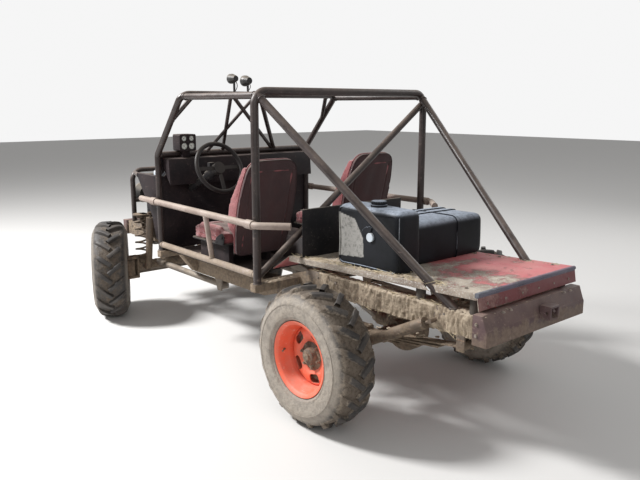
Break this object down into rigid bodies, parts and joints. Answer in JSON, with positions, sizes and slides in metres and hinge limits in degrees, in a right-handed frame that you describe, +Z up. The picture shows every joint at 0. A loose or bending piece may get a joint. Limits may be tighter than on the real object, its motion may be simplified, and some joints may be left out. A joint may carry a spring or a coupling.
{
  "type": "dune buggy",
  "caption": "Open off-road buggy with a tube cage, ladder frame, flat rear deck with a fuel tank, bucket seats and lugged off-road tyres on steered and rolling wheels.",
  "frame": {"origin": "on the floor under the middle of the buggy's bounding box", "axes": "+X towards the front, +Y towards the left side, +Z up"},
  "size_m": [3.981, 1.948, 1.92],
  "materials": {
    "cage_paint": "dark brown paint, worn and dusty",
    "side_paint": "pale sun-bleached paint on tube",
    "frame_paint": "dark paint under dried mud",
    "deck_paint": "worn red paint, scratched and muddy",
    "bumper_paint": "dark purple-brown paint, dusty",
    "panel_paint": "dark brown paint, satin",
    "rim_paint": "orange-red paint, bleached and muddy",
    "engine_iron": "oily cast iron",
    "gear_alloy": "dull cast alloy",
    "axle_iron": "cast iron under dried mud",
    "spring_steel": "dull steel with rust and dust",
    "link_steel": "dull steel",
    "exhaust_steel": "heat-stained steel",
    "radiator_metal": "matt black",
    "tank_plastic": "moulded plastic, dusty on top",
    "bottle_plastic": "milky moulded plastic",
    "lamp_shell": "black shell",
    "wheel_cover": "worn dark cover",
    "seat_cloth": "dark brown and maroon cloth",
    "mount_rubber": "hard black rubber",
    "tyre_rubber": "worn rubber with dried mud"
  },
  "bodies": {
    "chassis": {"frame_rails": "frame_paint", "crossmembers": "frame_paint", "outriggers": "frame_paint", "main_hoop": "cage_paint", "cage_braces": "cage_paint", "roof_rails": "cage_paint", "windshield_frame": "cage_paint", "side_bars": "side_paint", "floor_pan": "panel_paint", "cowl": "panel_paint", "dashboard": "panel_paint", "rear_deck": "deck_paint", "body_mounts": "mount_rubber", "rear_bulkhead": "panel_paint", "fuel_tank": "tank_plastic", "engine": "engine_iron", "gearbox": "gear_alloy", "drive_shafts": "link_steel", "rear_axle": "axle_iron", "front_axle": "axle_iron", "leaf_springs": "spring_steel", "coil_springs": "spring_steel", "radius_arms": "link_steel", "shock_absorbers": "spring_steel", "radiator": "radiator_metal", "front_guard": "cage_paint", "lamps": "lamp_shell", "coolant_bottle": "bottle_plastic", "exhaust_pipes": "exhaust_steel", "steering_column": "link_steel", "rear_bumper": "bumper_paint", "front_bumper": "bumper_paint", "seat_left_back": "seat_cloth", "seat_left_cushion": "seat_cloth", "seat_right_back": "seat_cloth", "seat_right_cushion": "seat_cloth"},
    "knuckle_left": {"knuckle_left": "axle_iron"},
    "knuckle_right": {"knuckle_right": "axle_iron"},
    "tie_rod": {"tie_rod": "link_steel"},
    "pitman_arm": {"pitman_arm": "link_steel"},
    "steering_wheel": {"steering_wheel": "wheel_cover"},
    "wheel_front_left": {"rim_front_left": "rim_paint", "tyre_front_left": "tyre_rubber"},
    "wheel_front_right": {"rim_front_right": "rim_paint", "tyre_front_right": "tyre_rubber"},
    "wheel_rear_left": {"rim_rear_left": "rim_paint", "tyre_rear_left": "tyre_rubber"},
    "wheel_rear_right": {"rim_rear_right": "rim_paint", "tyre_rear_right": "tyre_rubber"}
  },
  "joints": [
    {"name": "steer_left", "type": "hinge", "parent": "chassis", "child": "knuckle_left", "pos_m": [1.4905, 0.59, 0.389], "axis": [0, 0, 1], "range_deg": [-6, 58]},
    {"name": "steer_right", "type": "hinge", "parent": "chassis", "child": "knuckle_right", "pos_m": [1.4905, -0.59, 0.389], "axis": [0, 0, 1], "range_deg": [-6, 58]},
    {"name": "tie_rod_swing", "type": "hinge", "parent": "knuckle_left", "child": "tie_rod", "pos_m": [1.63431, 0.51986, 0.31], "axis": [0, 0, 1], "range_deg": [-58, 6]},
    {"name": "pitman_swing", "type": "hinge", "parent": "chassis", "child": "pitman_arm", "pos_m": [1.5505, 0.318, 0.56], "axis": [0, 0, 1], "range_deg": [-6, 58]},
    {"name": "steering_wheel_turn", "type": "hinge", "parent": "chassis", "child": "steering_wheel", "pos_m": [0.3505, 0.415, 1.281], "axis": [-0.9135, 0, 0.4067], "range_deg": [-84, 812]},
    {"name": "roll_front_left", "type": "hinge", "parent": "knuckle_left", "child": "wheel_front_left", "pos_m": [1.55406, 0.72032, 0.389], "axis": [0.4384, 0.8988, 0], "continuous": true},
    {"name": "roll_front_right", "type": "hinge", "parent": "knuckle_right", "child": "wheel_front_right", "pos_m": [1.42694, -0.72032, 0.389], "axis": [0.4384, 0.8988, 0], "continuous": true},
    {"name": "roll_rear_left", "type": "hinge", "parent": "chassis", "child": "wheel_rear_left", "pos_m": [-1.0495, 0.735, 0.389], "axis": [0, 1, 0], "continuous": true},
    {"name": "roll_rear_right", "type": "hinge", "parent": "chassis", "child": "wheel_rear_right", "pos_m": [-1.0495, -0.735, 0.389], "axis": [0, 1, 0], "continuous": true}
  ],
  "couplings": [
    {"joint": "steer_right", "follows": "steer_left", "ratio": 1},
    {"joint": "tie_rod_swing", "follows": "steer_left", "ratio": -1},
    {"joint": "pitman_swing", "follows": "steer_left", "ratio": 1},
    {"joint": "steering_wheel_turn", "follows": "steer_left", "ratio": 14}
  ]
}
